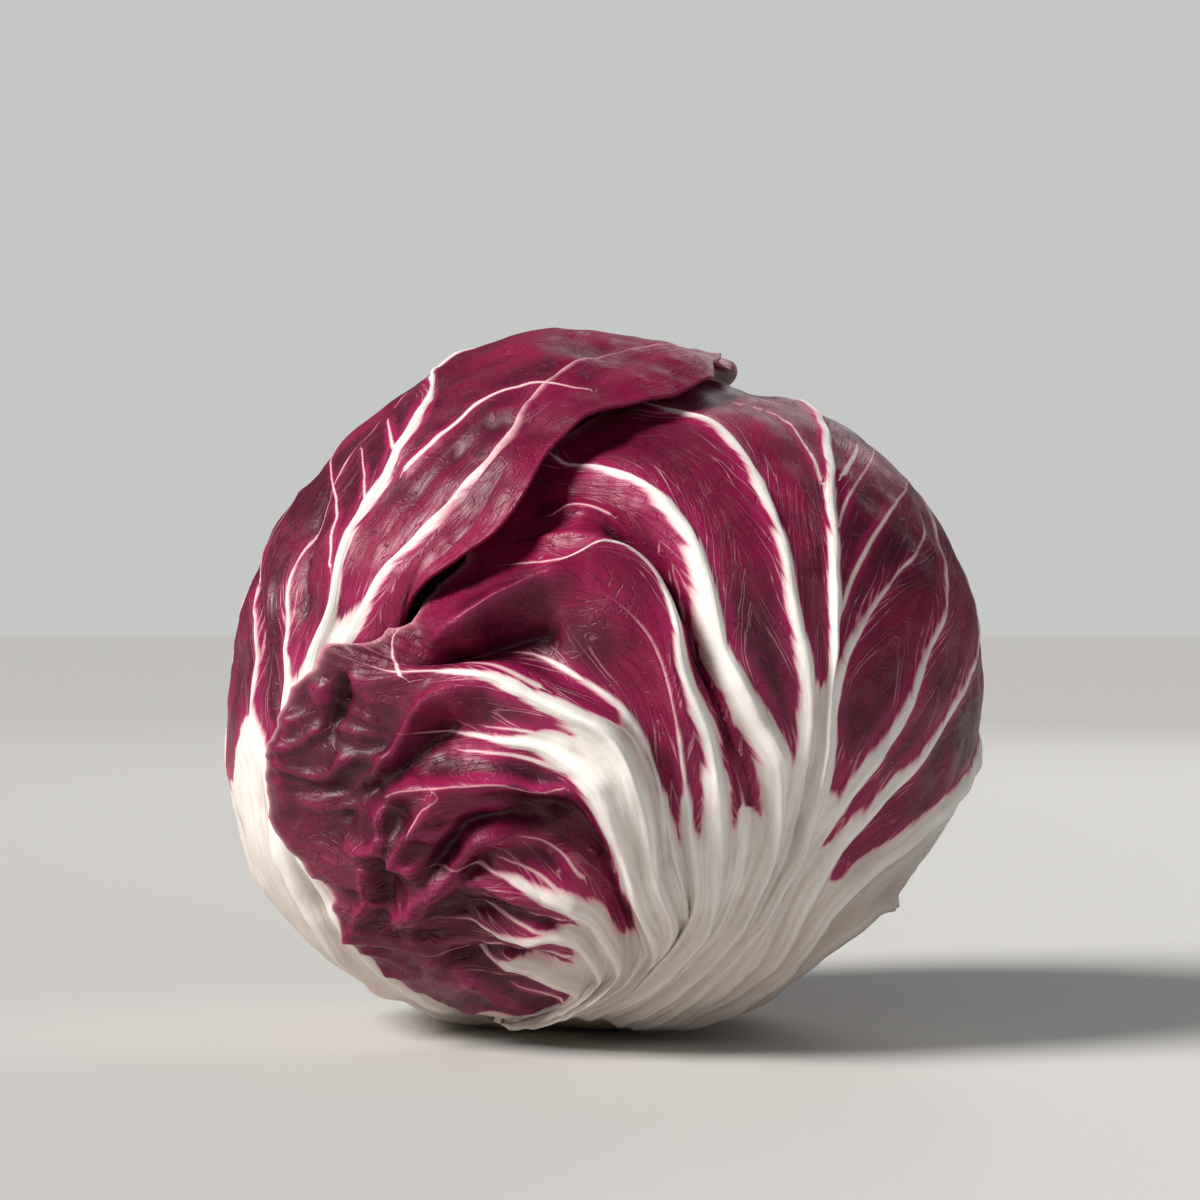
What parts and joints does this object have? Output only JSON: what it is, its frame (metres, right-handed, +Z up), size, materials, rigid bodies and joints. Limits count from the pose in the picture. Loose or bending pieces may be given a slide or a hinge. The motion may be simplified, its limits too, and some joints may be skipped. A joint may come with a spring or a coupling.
{
  "type": "radicchio head",
  "caption": "Round red radicchio head with overlapping white-ribbed wine-purple leaves, resting on its cut stem and leaf bases.",
  "frame": {"origin": "on the surface the head rests on, under the middle of its bounding box", "axes": "+Z up, -Y the near side with the crumpled leaf, +X to the right of that side"},
  "size_m": [0.1251, 0.1241, 0.1164],
  "materials": {
    "leaf": "satin",
    "heart": "satin",
    "stem": "matte"
  },
  "bodies": {
    "root": {"leaf_front": "leaf", "leaf_left": "leaf", "leaf_right_back": "leaf", "leaf_back": "leaf", "leaf_left_back": "leaf", "heart": "heart", "stem": "stem"}
  },
  "joints": []
}
